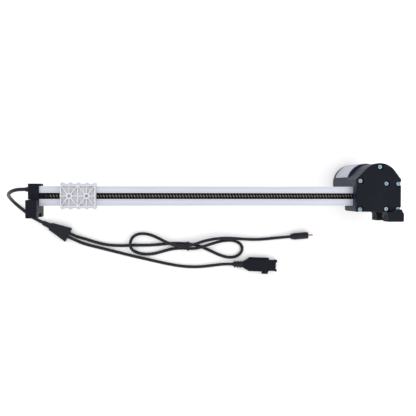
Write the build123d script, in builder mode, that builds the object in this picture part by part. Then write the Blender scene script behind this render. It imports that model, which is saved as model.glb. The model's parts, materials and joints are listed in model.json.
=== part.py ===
from build123d import *
import math
import os

# Motorised rail actuator: a slotted rail with a lead screw, a nut carriage that slides along it,
# a worm gearbox and motor at the nose end, and a lead that splits into a plug and a connector.
# +X runs along the rail toward the gearbox, +Z is up, and the motor stands on the floor at z = 0.
# Millimetres throughout.

# ---- overall sizes ----
rail_length = 626.0          # visible rail, end cap to gearbox wall
rail_width = 38.6
rail_height = 28.0
rail_base_z = 110.0          # underside of the rail above the floor
motor_radius = 32.0          # motor can
cover_top_z = 160.0          # front of the gearbox cover
nose_width = 93.0            # gearbox along the rail

# ---- fits and clearances ----
run_gap = 0.05               # radial clearance of a running fit
slide_gap = 0.35             # between the carriage and the rail
free_gap = 0.4               # between parts that must never touch
seat_gap = 0.1               # between parts that are fitted once

# ---- rail ----
slot_width = 12.0
rail_wall = 3.0
lip_thickness = 3.6
rail_top_z = rail_base_z + rail_height
screw_z = rail_base_z + rail_height / 2
groove_depth = 0.5
groove_width = 1.4
rail_seat = 12.0             # rail end held inside the gearbox wall

# ---- tail end ----
tail_length = 20.6
cap_reach = 23.8             # cap side wall measured from the screw axis
cap_lip = 3.5
screw_proud = 1.2            # tail screw heads stand off the cap
tail_ear_near = 7.4
tail_ear_far = 42.2
ear_low_z = 81.0
ear_high_z = 167.0
ear_thickness = 26.0
tail_web = 33.6

# ---- nose end ----
ear_left = 63.6
ear_right = 96.4
ear_bottom = 51.3
ear_bore_radius = 5.0
blind_wall = 9.0             # plastic left in front of a pin bore
cover_thickness = 8.0
housing_wall = 3.5
housing_bottom = 31.2        # below the screw axis
housing_shoulder = 34.5      # above the screw axis, where the sloping sides start
hood_top_z = 97.0
hood_wall = 2.5
hood_room = 5.9              # between the motor can and the hood
hood_shift = (-4.6, 1.6)     # hood centre from the motor axis
arch_step = 0.9              # arch of the cover is smaller than the hood by this
arch_shift = 1.0             # arch centre from the motor axis, both ways
low_block_z = 89.0

# ---- screw and worm drive ----
screw_radius = 6.0
journal_radius = 5.0
gear_module = 1.25
wheel_teeth = 32
worm_pitch_radius = 6.5
tooth_top = 1.1
tooth_root = 1.5
backlash = 0.4
wheel_width = 9.0
worm_length = 26.0
worm_turns = 7
shaft_radius = 4.0

# ---- slider ----
slider_length = 67.0
slider_half_width = 21.6
skirt_half_width = 24.0
slider_top_z = rail_top_z + 12.0
slider_plate = 4.0
slider_rest = 551.75         # middle of the slider before the gearbox wall
hole_pitch = 33.0
hole_radius = 3.1
hole_depth = 7.6
boss_radius = 6.2
rib_thickness = 2.0
rim_thickness = 2.4
nut_length = 44.0
glide_length = 52.0
glide_height = 8.0
glide_depth = 1.0            # recess in the skirt
glide_stand = 0.25           # strip stands out toward the rail

# ---- cords ----
lead_diameter = 7.2
branch_diameter = 6.6

# ---- placing ----
nose_reach = ear_right
hood_radius = motor_radius + hood_room + hood_wall
arch_radius = hood_radius - arch_step
x_end = (rail_length + tail_length + screw_proud - nose_reach) / 2   # gearbox wall, middle at x = 0
wheel_pitch_radius = gear_module * wheel_teeth / 2
centre_distance = wheel_pitch_radius + worm_pitch_radius
motor_x = x_end + nose_width / 2 + 1.0
top_reach = centre_distance + hood_shift[1] + hood_radius
screw_y = (ear_bottom - top_reach) / 2                    # screw axis, so the middle is y = 0
motor_y = screw_y + centre_distance
hood_x = motor_x + hood_shift[0]
hood_y = motor_y + hood_shift[1]
rail_left = x_end - rail_length
tail_left = rail_left - tail_length
slider_x = x_end - slider_rest
wheel_x = motor_x
thread_pitch = math.pi * gear_module
worm_lead_angle = math.degrees(math.atan(gear_module / (2 * worm_pitch_radius)))

os.makedirs("parts", exist_ok=True)
nodes = []


def keep(builder, label):
    """Label a finished part and remember it for export."""
    builder.part.label = label
    nodes.append(builder.part)


def across(x):
    """Plane across the rail at x, with its own x along +Y and its own y along +Z."""
    return Plane(origin=(x, screw_y, screw_z), x_dir=(0, 1, 0), z_dir=(1, 0, 0))


def level(x, y, z):
    """Level plane with its origin at a point."""
    return Plane(origin=(x, y, z))


# ================= rail =================
rail_x0 = rail_left
rail_span = rail_length + rail_seat
half_w = rail_width / 2
half_h = rail_height / 2
with BuildPart() as rail:
    with BuildSketch(across(rail_x0)):
        RectangleRounded(rail_width, rail_height, 1.2)
        with Locations((0, (rail_wall - lip_thickness) / 2)):
            Rectangle(rail_width - 2 * rail_wall, rail_height - rail_wall - lip_thickness,
                      mode=Mode.SUBTRACT)
        with Locations((0, half_h)):
            Rectangle(slot_width, 2 * lip_thickness + 1, mode=Mode.SUBTRACT)
        for side in (-1, 1):
            for offset in (slot_width / 2 + 2.4, half_w - 3.2):
                with Locations((side * offset, half_h)):
                    Rectangle(groove_width, 2 * groove_depth, mode=Mode.SUBTRACT)
            with Locations((side * half_w, 0)):
                Rectangle(2 * groove_depth, 6.0, mode=Mode.SUBTRACT)
    extrude(amount=rail_span)
keep(rail, "rail")

# two wires to the motor, along the floor of the rail
wire_radius = 0.8
wire_y = 11.0
wire_z = rail_base_z + rail_wall + wire_radius
for index, colour in enumerate(("red", "black")):
    with BuildPart() as wire:
        with BuildSketch(across(rail_left + 2.0)):
            with Locations((wire_y + index * (2 * wire_radius + 0.2), wire_z - screw_z)):
                Circle(wire_radius)
        extrude(amount=rail_length)
    keep(wire, f"rail_wire_{colour}")

# ================= tail cap and bracket =================
cap_low = 7.0
cap_z0 = rail_base_z - 3.0
cap_z1 = rail_top_z + 3.0
plug_depth = 6.0
cord_exit_y = 12.6
with BuildPart() as tail_cap:
    with BuildSketch(Plane.XY.offset(cap_z0)):
        with Locations(((tail_left + rail_left) / 2, screw_y + (cap_reach - cap_low) / 2)):
            Rectangle(tail_length, cap_reach + cap_low)
    extrude(amount=cap_z1 - cap_z0)
    fillet(tail_cap.edges().filter_by(Axis.Z).sort_by(Axis.X)[:2], 1.5)
    with BuildSketch(Plane.XY.offset(rail_base_z)):
        with Locations((rail_left + cap_lip / 2, screw_y + (cap_reach + half_w + seat_gap) / 2)):
            Rectangle(cap_lip, cap_reach - half_w - seat_gap)
    extrude(amount=rail_height)
    with BuildSketch(across(rail_left)):
        with Locations((0, (rail_wall - lip_thickness) / 2)):
            Rectangle(rail_width - 2 * rail_wall - 2 * seat_gap,
                      rail_height - rail_wall - lip_thickness - 2 * seat_gap)
    extrude(amount=plug_depth)
    with BuildSketch(across(rail_left - 12.0)):
        Circle(journal_radius + 2.0 + seat_gap)
    extrude(amount=12.0 + plug_depth, mode=Mode.SUBTRACT)
    with BuildSketch(across(rail_left)):
        with Locations((wire_y + wire_radius + 0.1, wire_z - screw_z)):
            Rectangle(6.0, 4.0)
    extrude(amount=plug_depth, mode=Mode.SUBTRACT)
keep(tail_cap, "tail_cap")

bush_length = 14.0
with BuildPart() as tail_bush:
    with BuildSketch(across(rail_left - 11.5)):
        Circle(journal_radius + 2.0)
        Circle(journal_radius + run_gap, mode=Mode.SUBTRACT)
    extrude(amount=bush_length)
keep(tail_bush, "tail_bush")

ear_mid_z = (ear_low_z + ear_high_z) / 2
slot_height = ear_high_z - ear_low_z - 2 * ear_thickness
bracket_mid_y = screw_y - (tail_ear_near + tail_ear_far) / 2
tail_bore_y = screw_y - 26.0
tail_mid_x = (tail_left + rail_left) / 2 - 0.4
with BuildPart() as tail_bracket:
    with BuildSketch(Plane.XY.offset(ear_low_z)):
        with Locations((tail_mid_x, bracket_mid_y)):
            Rectangle(tail_length, tail_ear_far - tail_ear_near)
    extrude(amount=ear_high_z - ear_low_z)
    fillet(tail_bracket.edges().filter_by(Axis.Z), 1.5)
    with BuildSketch(Plane.XZ.offset(-(screw_y - tail_web))):
        with Locations((tail_mid_x, ear_mid_z)):
            Rectangle(tail_length + 2, slot_height)
    extrude(amount=tail_ear_far - tail_web + 1, mode=Mode.SUBTRACT)
    with BuildSketch(Plane.XY.offset(ear_low_z)):
        with Locations((tail_mid_x, tail_bore_y)):
            Circle(ear_bore_radius)
    extrude(amount=ear_high_z - ear_low_z - blind_wall, mode=Mode.SUBTRACT)
keep(tail_bracket, "tail_bracket")

# two countersunk screws through the cap's left face into the rail
with BuildPart() as cap_screws:
    with BuildSketch(across(tail_left - screw_proud)):
        with Locations((-2.0, -9.5), (17.0, -9.5)):
            Circle(3.4)
            RegularPolygon(1.8, 6, mode=Mode.SUBTRACT)
    extrude(amount=screw_proud)
keep(cap_screws, "tail_screws")

# gland where the lead leaves the cap
gland_length = 8.0
with BuildPart() as lead_gland:
    with BuildSketch(across(tail_left)):
        with Locations((cord_exit_y, 0)):
            Circle(5.2)
    with BuildSketch(across(tail_left - gland_length)):
        with Locations((cord_exit_y, 0)):
            Circle(lead_diameter / 2 + 0.5)
    loft()
keep(lead_gland, "lead_gland")

# end stops: a small switch at each end of the rail
switch_size = (16.0, 6.4, 9.0)
switch_offset = 11.4
switch_spots = (rail_left + 17.0, x_end - 14.0)
with BuildPart() as limit_switches:
    for x in switch_spots:
        with Locations((x, screw_y - switch_offset, rail_base_z + rail_wall + switch_size[2] / 2)):
            Box(*switch_size)
        with Locations((x, screw_y - switch_offset, rail_base_z + rail_wall + switch_size[2] + 0.8)):
            Cylinder(1.2, 1.6)
keep(limit_switches, "limit_switches")

# ================= gearbox =================
cover_z0 = cover_top_z - cover_thickness
housing_top_z = cover_z0 - 0.8
nose_mid_x = x_end + nose_width / 2 + 0.3
screw_spots = (
    (48.6, 59.4), (7.8, 31.0), (62.6, 25.7), (87.6, 25.4),
    (7.8, -26.4), (62.4, -25.8), (87.6, -25.9),
)
boss_r = 4.6


def nose_outline(inset):
    """Gearbox outline: a block with sloping shoulders under a round top."""
    left = x_end + inset
    right = x_end + nose_width - inset
    low = screw_y - housing_bottom + inset
    high = screw_y + housing_shoulder - inset
    with Locations(((left + right) / 2, (low + high) / 2)):
        Rectangle(right - left, high - low)
    with Locations((motor_x + arch_shift, motor_y + arch_shift)):
        Circle(arch_radius - inset)
    make_hull()


bearing_outer_radius = 13.0
bearing_width = 8.0
bearing_spots = (x_end + 28.0, x_end + 68.0)
floor_z = hood_top_z + housing_wall
with BuildPart() as housing:
    with BuildSketch(Plane.XY.offset(hood_top_z)):
        nose_outline(0.3)
    extrude(amount=housing_top_z - hood_top_z)
    with BuildSketch(Plane.XY.offset(low_block_z)):
        with Locations((nose_mid_x - 0.3, screw_y - housing_bottom + 7.3)):
            RectangleRounded(nose_width - 0.6, 14.0, 3.0)
    extrude(amount=hood_top_z - low_block_z + 1)
    # the low block stays clear of the hood beside it
    with BuildSketch(Plane.XY.offset(low_block_z)):
        with Locations((hood_x, hood_y)):
            Circle(hood_radius + free_gap)
    extrude(amount=hood_top_z - low_block_z, mode=Mode.SUBTRACT)
    with BuildSketch(Plane.XY.offset(floor_z)):
        nose_outline(housing_wall)
    extrude(amount=housing_top_z - floor_z, mode=Mode.SUBTRACT)
    # wall that holds the rail end
    with BuildSketch(Plane.XY.offset(floor_z)):
        with Locations((x_end + rail_seat / 2 + 1.0, screw_y)):
            Rectangle(rail_seat + 2.0, rail_width + 8.0)
        for x in bearing_spots:
            with Locations((x, screw_y)):
                Rectangle(bearing_width + 2.0, 2 * bearing_outer_radius + 7.0)
    extrude(amount=screw_z - floor_z)
    with BuildSketch(Plane.XY.offset(screw_z)):
        with Locations((x_end + rail_seat / 2 + 1.0, screw_y)):
            Rectangle(rail_seat + 2.0, rail_width + 8.0)
    extrude(amount=housing_top_z - screw_z)
    with BuildSketch(Plane.XY.offset(floor_z)):
        with Locations([(x_end + x, screw_y + y) for x, y in screw_spots]):
            Circle(boss_r)
    extrude(amount=housing_top_z - floor_z)
    with BuildSketch(Plane.XY.offset(housing_top_z - 16.0)):
        with Locations([(x_end + x, screw_y + y) for x, y in screw_spots]):
            Circle(2.0)
    extrude(amount=16.0, mode=Mode.SUBTRACT)
    # rail pocket, screw passage and bearing seats
    with BuildSketch(across(x_end - 1)):
        Rectangle(rail_width + 2 * seat_gap, rail_height + 2 * seat_gap)
    extrude(amount=rail_seat + 1 + seat_gap, mode=Mode.SUBTRACT)
    with BuildSketch(across(x_end)):
        Circle(screw_radius + 1.5)
    extrude(amount=nose_width - 10.0, mode=Mode.SUBTRACT)
    for x in bearing_spots:
        with BuildSketch(across(x - bearing_width / 2 - 0.2)):
            Circle(bearing_outer_radius + seat_gap)
        extrude(amount=bearing_width + 0.4, mode=Mode.SUBTRACT)
    # opening for the motor shaft
    with BuildSketch(Plane.XY.offset(hood_top_z)):
        with Locations((motor_x, motor_y)):
            Circle(worm_pitch_radius + tooth_top + 1.2)
    extrude(amount=housing_wall + 1, mode=Mode.SUBTRACT)
keep(housing, "gearbox_housing")

with BuildPart() as gasket:
    with BuildSketch(Plane.XY.offset(housing_top_z)):
        nose_outline(0.3)
        with BuildSketch(mode=Mode.SUBTRACT):
            nose_outline(housing_wall)
        with Locations([(x_end + x, screw_y + y) for x, y in screw_spots]):
            Circle(2.3, mode=Mode.SUBTRACT)
    extrude(amount=cover_z0 - housing_top_z)
keep(gasket, "cover_gasket")

head_radius = 4.7
head_height = 2.6
recess_depth = 4.0
shaft_top_z = cover_z0 - 1.2
with BuildPart() as cover:
    with BuildSketch(Plane.XY.offset(cover_z0)):
        nose_outline(0.0)
    extrude(amount=cover_thickness)
    chamfer(cover.faces().sort_by(Axis.Z)[-1].outer_wire().edges(), 1.0)
    with BuildSketch(Plane.XY.offset(cover_z0 - 6.0)):
        with Locations((motor_x, motor_y)):
            Circle(shaft_radius + 5.0)
    extrude(amount=6.0)
    with BuildSketch(Plane.XY.offset(cover_z0 - 6.0)):
        with Locations((motor_x, motor_y)):
            Circle(shaft_radius + 2.0 + seat_gap)
    extrude(amount=8.0, mode=Mode.SUBTRACT)
    with BuildSketch(Plane.XY.offset(cover_top_z - recess_depth)):
        with Locations([(x_end + x, screw_y + y) for x, y in screw_spots]):
            Circle(head_radius + 2.0)
    extrude(amount=recess_depth, mode=Mode.SUBTRACT)
    with BuildSketch(Plane.XY.offset(cover_z0)):
        with Locations([(x_end + x, screw_y + y) for x, y in screw_spots]):
            Circle(2.2)
    extrude(amount=cover_thickness, mode=Mode.SUBTRACT)
keep(cover, "gearbox_cover")

for index, (x, y) in enumerate(screw_spots):
    head_z = cover_top_z - recess_depth
    with BuildPart() as cover_screw:
        with BuildSketch(level(x_end + x, screw_y + y, head_z)):
            Circle(head_radius)
        extrude(amount=head_height)
        fillet(cover_screw.faces().sort_by(Axis.Z)[-1].edges(), 1.2)
        with BuildSketch(level(x_end + x, screw_y + y, head_z + head_height - 1.6)):
            Rectangle(4.6, 1.0)
            Rectangle(1.0, 4.6)
        extrude(amount=1.6, mode=Mode.SUBTRACT)
        with BuildSketch(level(x_end + x, screw_y + y, head_z - 18.0)):
            Circle(1.95)
        extrude(amount=18.0)
    keep(cover_screw, f"cover_screw_{index + 1}")

# bearings and the keepers that close their seats
inner_ring = journal_radius + 2.6
outer_ring = bearing_outer_radius - 2.6
ball_track = (inner_ring + outer_ring) / 2
ball_radius = (outer_ring - inner_ring) / 2 + 0.5
ball_count = 8
ball_play = 0.08
groove = ball_radius + ball_play
with BuildPart() as keepers:
    with BuildSketch(Plane.XY.offset(screw_z + seat_gap)):
        with Locations([(x, screw_y) for x in bearing_spots]):
            Rectangle(bearing_width + 2.0, 2 * bearing_outer_radius + 7.0)
    extrude(amount=housing_top_z - 1.0 - screw_z)
    with BuildSketch(across(x_end + rail_seat)):
        Circle(screw_radius + 1.5)
    extrude(amount=nose_width, mode=Mode.SUBTRACT)
    for x in bearing_spots:
        with BuildSketch(across(x - bearing_width / 2 - 0.2)):
            Circle(bearing_outer_radius + seat_gap)
        extrude(amount=bearing_width + 0.4, mode=Mode.SUBTRACT)
keep(keepers, "bearing_keepers")


def ring(inside, outside):
    """Bearing ring at both seats, with its ball track cut by the balls' path."""
    with BuildPart() as made:
        for x in bearing_spots:
            with BuildSketch(across(x - bearing_width / 2)):
                Circle(outside)
                Circle(inside, mode=Mode.SUBTRACT)
            extrude(amount=bearing_width)
            with BuildSketch(Plane(origin=(x, screw_y, screw_z), x_dir=(1, 0, 0), z_dir=(0, -1, 0))):
                with Locations((0, ball_track)):
                    Circle(groove)
            revolve(axis=Axis((x, screw_y, screw_z), (1, 0, 0)), mode=Mode.SUBTRACT)
    return made


keep(ring(outer_ring, bearing_outer_radius), "bearing_outer_rings")
keep(ring(journal_radius + 0.01, inner_ring), "bearing_inner_rings")
with BuildPart() as balls:
    for x in bearing_spots:
        with Locations(across(x)):
            with PolarLocations(ball_track, ball_count):
                Sphere(ball_radius)
keep(balls, "bearing_balls")

# ================= nose clevis =================
clevis_slot_low = ear_low_z + ear_thickness
clevis_slot_high = ear_high_z - ear_thickness
bore_x = x_end + 82.0
bore_y = screw_y - 41.5


def ear_profile():
    """Ear outline seen from above."""
    Polygon(
        (x_end + ear_left, screw_y - ear_bottom),
        (x_end + ear_right - 1.5, screw_y - ear_bottom),
        (x_end + ear_right, screw_y - ear_bottom + 1.5),
        (x_end + ear_right, screw_y - 35.5),
        (x_end + nose_width + 1.0, screw_y - housing_bottom - 0.5),
        (x_end + ear_left - 4.0, screw_y - housing_bottom - 0.5),
        (x_end + ear_left, screw_y - 38.0),
        align=None,
    )


with BuildPart() as clevis:
    with BuildSketch(Plane.XY.offset(ear_low_z)):
        ear_profile()
    extrude(amount=ear_thickness)
    with BuildSketch(Plane.XY.offset(clevis_slot_high)):
        ear_profile()
    extrude(amount=ear_thickness)
    # web between the ears, against the underside of the housing
    with BuildSketch(Plane.XY.offset(clevis_slot_low)):
        with Locations((x_end + 78.0, screw_y - housing_bottom - 1.7)):
            Rectangle(30.0, 2.4)
    extrude(amount=clevis_slot_high - clevis_slot_low)
    # hook over the cover corner
    with BuildSketch(Plane.XY.offset(cover_top_z + seat_gap)):
        with BuildLine():
            Polyline(
                (x_end + 71.0, screw_y - housing_bottom - 1.0),
                (x_end + 78.0, screw_y - 26.4),
                (x_end + 91.5, screw_y - 26.4),
                (x_end + 94.0, screw_y - housing_bottom - 1.0),
                close=True,
            )
        make_face()
    extrude(amount=ear_high_z - cover_top_z - seat_gap)
    with BuildSketch(Plane.XY.offset(ear_low_z)):
        with Locations((bore_x, bore_y)):
            Circle(ear_bore_radius + 1.5)
    extrude(amount=ear_high_z - ear_low_z - blind_wall, mode=Mode.SUBTRACT)
keep(clevis, "nose_clevis")

with BuildPart() as bushes:
    for z, span in ((ear_low_z, ear_thickness), (clevis_slot_high, ear_thickness - blind_wall)):
        with BuildSketch(level(bore_x, bore_y, z)):
            Circle(ear_bore_radius + 1.5)
            Circle(ear_bore_radius, mode=Mode.SUBTRACT)
        extrude(amount=span)
keep(bushes, "clevis_bushes")

# ================= motor =================
hood_floor = 4.0
hood_flange = 4.0
with BuildPart() as hood:
    with BuildSketch(level(hood_x, hood_y, 0)):
        Circle(hood_radius)
    extrude(amount=hood_top_z)
    fillet(hood.faces().sort_by(Axis.Z)[0].edges(), 2.5)
    with BuildSketch(level(hood_x, hood_y, hood_floor)):
        Circle(hood_radius - hood_wall)
    extrude(amount=hood_top_z - hood_floor - hood_flange, mode=Mode.SUBTRACT)
    # the flange at the open end fits round the motor
    with BuildSketch(level(motor_x, motor_y, hood_floor)):
        Circle(motor_radius + seat_gap)
    extrude(amount=hood_top_z, mode=Mode.SUBTRACT)
    with BuildSketch(level(motor_x, motor_y, 0)):
        with PolarLocations(24.0, 2):
            Circle(4.2)
    extrude(amount=2.0, mode=Mode.SUBTRACT)
    with BuildSketch(level(motor_x, motor_y, 0)):
        with PolarLocations(24.0, 2):
            Circle(1.7)
    extrude(amount=hood_floor, mode=Mode.SUBTRACT)
keep(hood, "motor_hood")

can_z0 = 5.0
plate_z = hood_top_z - 6.0
can_wall = 2.0
with BuildPart() as hood_screws:
    with BuildSketch(level(motor_x, motor_y, 0.6)):
        with PolarLocations(24.0, 2):
            Circle(3.6)
    extrude(amount=1.4)
    with BuildSketch(level(motor_x, motor_y, 2.0)):
        with PolarLocations(24.0, 2):
            Circle(1.5)
    extrude(amount=can_z0 + can_wall - 2.0)
keep(hood_screws, "hood_screws")

with BuildPart() as can:
    with BuildSketch(level(motor_x, motor_y, can_z0)):
        Circle(motor_radius)
    extrude(amount=plate_z - can_z0)
    with BuildSketch(level(motor_x, motor_y, can_z0 + can_wall)):
        Circle(motor_radius - can_wall)
    extrude(amount=plate_z, mode=Mode.SUBTRACT)
    with BuildSketch(level(motor_x, motor_y, can_z0)):
        with PolarLocations(24.0, 2):
            Circle(1.6)
    extrude(amount=can_wall, mode=Mode.SUBTRACT)
keep(can, "motor_can")

with BuildPart() as plate:
    with BuildSketch(level(motor_x, motor_y, plate_z)):
        Circle(motor_radius)
        Circle(shaft_radius + 2.0 + seat_gap, mode=Mode.SUBTRACT)
    extrude(amount=hood_top_z - plate_z)
keep(plate, "motor_front_plate")

with BuildPart() as shaft_bushes:
    for z in (can_z0 + can_wall, plate_z, cover_z0 - 6.0):
        with BuildSketch(level(motor_x, motor_y, z)):
            Circle(shaft_radius + 2.0)
            Circle(shaft_radius + run_gap, mode=Mode.SUBTRACT)
        extrude(amount=5.5)
keep(shaft_bushes, "shaft_bushes")

magnet_outer = motor_radius - can_wall - 0.02
magnet_inner = magnet_outer - 5.6
core_radius = magnet_inner - free_gap - 0.2
core_z0 = 32.0
core_z1 = 66.0
with BuildPart() as magnets:
    with BuildSketch(level(motor_x, motor_y, core_z0 - 2.0)):
        Circle(magnet_outer)
        Circle(magnet_inner, mode=Mode.SUBTRACT)
        Rectangle(magnet_outer, 3 * magnet_outer, mode=Mode.SUBTRACT)
    extrude(amount=core_z1 - core_z0 + 4.0)
keep(magnets, "motor_magnets")

commutator_radius = 10.0
brush_reach = commutator_radius + free_gap + 4.0
with BuildPart() as brushes:
    with Locations((motor_x, motor_y + brush_reach, 82.0), (motor_x, motor_y - brush_reach, 82.0)):
        Box(6.0, 8.0, 5.0)
keep(brushes, "brushes")
with BuildPart() as brush_card:
    with BuildSketch(level(motor_x, motor_y, 86.0)):
        Circle(motor_radius - can_wall - 0.5)
        Circle(commutator_radius + 2.0, mode=Mode.SUBTRACT)
    extrude(amount=2.0)
    with BuildSketch(level(motor_x, motor_y, 84.5)):
        with Locations((0, commutator_radius + 7.0), (0, -commutator_radius - 7.0)):
            Rectangle(8.0, 5.0)
    extrude(amount=1.5)
keep(brush_card, "brush_card")

# label on the side of the hood
label_z0 = 15.0
label_z1 = 93.0
label_thickness = 0.4
with BuildPart() as label:
    with BuildSketch(level(hood_x, hood_y, label_z0)):
        Circle(hood_radius + label_thickness)
        Circle(hood_radius + 0.02, mode=Mode.SUBTRACT)
        with BuildLine():
            Polyline((0, 0), (-60, 18), (-60, 80), (-29, 80), close=True)
        make_face(mode=Mode.INTERSECT)
    extrude(amount=label_z1 - label_z0)
keep(label, "rating_label")

# ================= rotor =================
with BuildPart() as rotor_shaft:
    with BuildSketch(level(motor_x, motor_y, can_z0 + can_wall + 0.5)):
        Circle(shaft_radius)
    extrude(amount=shaft_top_z - can_z0 - can_wall - 0.5)
keep(rotor_shaft, "rotor_shaft")

with BuildPart() as core:
    with BuildSketch(level(motor_x, motor_y, core_z0)):
        Circle(core_radius)
        Circle(shaft_radius + 0.01, mode=Mode.SUBTRACT)
        with PolarLocations(core_radius - 3.0, 12):
            Rectangle(9.0, 2.4, mode=Mode.SUBTRACT)
    extrude(amount=core_z1 - core_z0)
keep(core, "rotor_core")

with BuildPart() as windings:
    for z in (core_z0 - 9.0, core_z1):
        with BuildSketch(level(motor_x, motor_y, z)):
            Circle(core_radius - 2.0)
            Circle(commutator_radius + 1.0, mode=Mode.SUBTRACT)
        extrude(amount=9.0)
    fillet(windings.edges().filter_by(GeomType.CIRCLE), 2.0)
keep(windings, "windings")

with BuildPart() as commutator:
    with BuildSketch(level(motor_x, motor_y, core_z1 + 0.5)):
        Circle(commutator_radius)
        Circle(shaft_radius + 0.01, mode=Mode.SUBTRACT)
    extrude(amount=19.0)
keep(commutator, "commutator")

# worm: a right-hand thread on a sleeve
thread_half = (thread_pitch - backlash) / 4
flank = math.tan(math.radians(20.0))
worm_tip = worm_pitch_radius + tooth_top
worm_root = worm_pitch_radius - tooth_root + 0.05
worm_bed = worm_root - 0.4
thread_z0 = screw_z - 0.75 * thread_pitch - (worm_turns // 2) * thread_pitch
helix_path = Helix(
    pitch=thread_pitch,
    height=worm_turns * thread_pitch,
    radius=worm_pitch_radius,
    center=(motor_x, motor_y, thread_z0),
)
with BuildPart() as worm:
    with BuildSketch(Plane(origin=(motor_x, motor_y, thread_z0), x_dir=(1, 0, 0), z_dir=(0, -1, 0))):
        with BuildLine():
            Polyline(
                (worm_bed, thread_half + (worm_pitch_radius - worm_bed) * flank),
                (worm_tip, thread_half - tooth_top * flank),
                (worm_tip, -thread_half + tooth_top * flank),
                (worm_bed, -thread_half - (worm_pitch_radius - worm_bed) * flank),
                close=True,
            )
        make_face()
    sweep(path=helix_path, is_frenet=True)
    with BuildSketch(level(motor_x, motor_y, screw_z - worm_length / 2 - 3.0)):
        Circle(worm_root)
        Circle(shaft_radius + 0.01, mode=Mode.SUBTRACT)
    extrude(amount=worm_length + 6.0)
keep(worm, "worm")

# ================= screw body =================
screw_left = rail_left - 10.0
threaded_left = rail_left + 14.4
threaded_right = x_end + 20.0
screw_right = x_end + 82.0
with BuildPart() as lead_screw:
    with BuildSketch(across(screw_left)):
        Circle(journal_radius)
    extrude(amount=screw_right - screw_left)
    with BuildSketch(across(threaded_left)):
        Circle(screw_radius)
    extrude(amount=threaded_right - threaded_left)
    chamfer(lead_screw.edges().filter_by(GeomType.CIRCLE).sort_by(Axis.X)[0], 0.8)
    with BuildSketch(across(wheel_x - 5.0)):
        with Locations((0, journal_radius)):
            Rectangle(3.0, 3.0)
    extrude(amount=10.0, mode=Mode.SUBTRACT)
keep(lead_screw, "lead_screw")

with BuildPart() as stop_collar:
    with BuildSketch(across(threaded_left - 5.0)):
        Circle(screw_radius + 1.2)
        Circle(journal_radius + 0.01, mode=Mode.SUBTRACT)
    extrude(amount=4.6)
keep(stop_collar, "stop_collar")

with BuildPart() as locknut:
    with BuildSketch(across(x_end + 74.0)):
        RegularPolygon(9.0, 6)
        Circle(journal_radius + 0.01, mode=Mode.SUBTRACT)
    extrude(amount=5.0)
keep(locknut, "screw_locknut")

with BuildPart() as wheel_key:
    with BuildSketch(across(wheel_x - 4.9)):
        with Locations((0, journal_radius)):
            Rectangle(2.9, 2.9)
    extrude(amount=9.8)
keep(wheel_key, "wheel_key")

# worm wheel: gaps cut along the worm's lead angle
gap_half = (thread_pitch + backlash) / 4
tooth_step = 360.0 / wheel_teeth
gap_flank = math.tan(math.radians(17.5 + tooth_step / 2))
wheel_tip = wheel_pitch_radius + tooth_top
wheel_root = wheel_pitch_radius - tooth_root
lean = math.radians(worm_lead_angle)
gap_plane = Plane(
    origin=(wheel_x, screw_y, screw_z),
    x_dir=(math.sin(lean), 0, -math.cos(lean)),
    z_dir=(math.cos(lean), 0, math.sin(lean)),
)
with BuildPart() as gap_tool:
    with BuildSketch(gap_plane):
        with BuildLine():
            low = gap_half - (wheel_pitch_radius - wheel_root) * gap_flank
            high = gap_half + (tooth_top + 0.6) * gap_flank
            Polyline(
                (-low, wheel_root),
                (low, wheel_root),
                (high, wheel_tip + 0.6),
                (-high, wheel_tip + 0.6),
                close=True,
            )
        make_face()
    extrude(amount=wheel_width, both=True)
wheel_axis = Axis((wheel_x, screw_y, screw_z), (1, 0, 0))
gap_tools = [gap_tool.part.rotate(wheel_axis, k * tooth_step) for k in range(wheel_teeth)]
with BuildPart() as worm_wheel:
    with BuildSketch(across(wheel_x - wheel_width / 2)):
        Circle(wheel_tip)
    extrude(amount=wheel_width)
    add(gap_tools, mode=Mode.SUBTRACT)
    with BuildSketch(across(wheel_x - wheel_width / 2 - 2.0)):
        Circle(journal_radius + 5.0)
    extrude(amount=wheel_width + 4.0)
    with BuildSketch(across(wheel_x - wheel_width / 2 - 2.0)):
        Circle(journal_radius + 0.01)
        with Locations((0, journal_radius)):
            Rectangle(3.0, 3.2)
    extrude(amount=wheel_width + 4.0, mode=Mode.SUBTRACT)
keep(worm_wheel, "worm_wheel")

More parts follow.
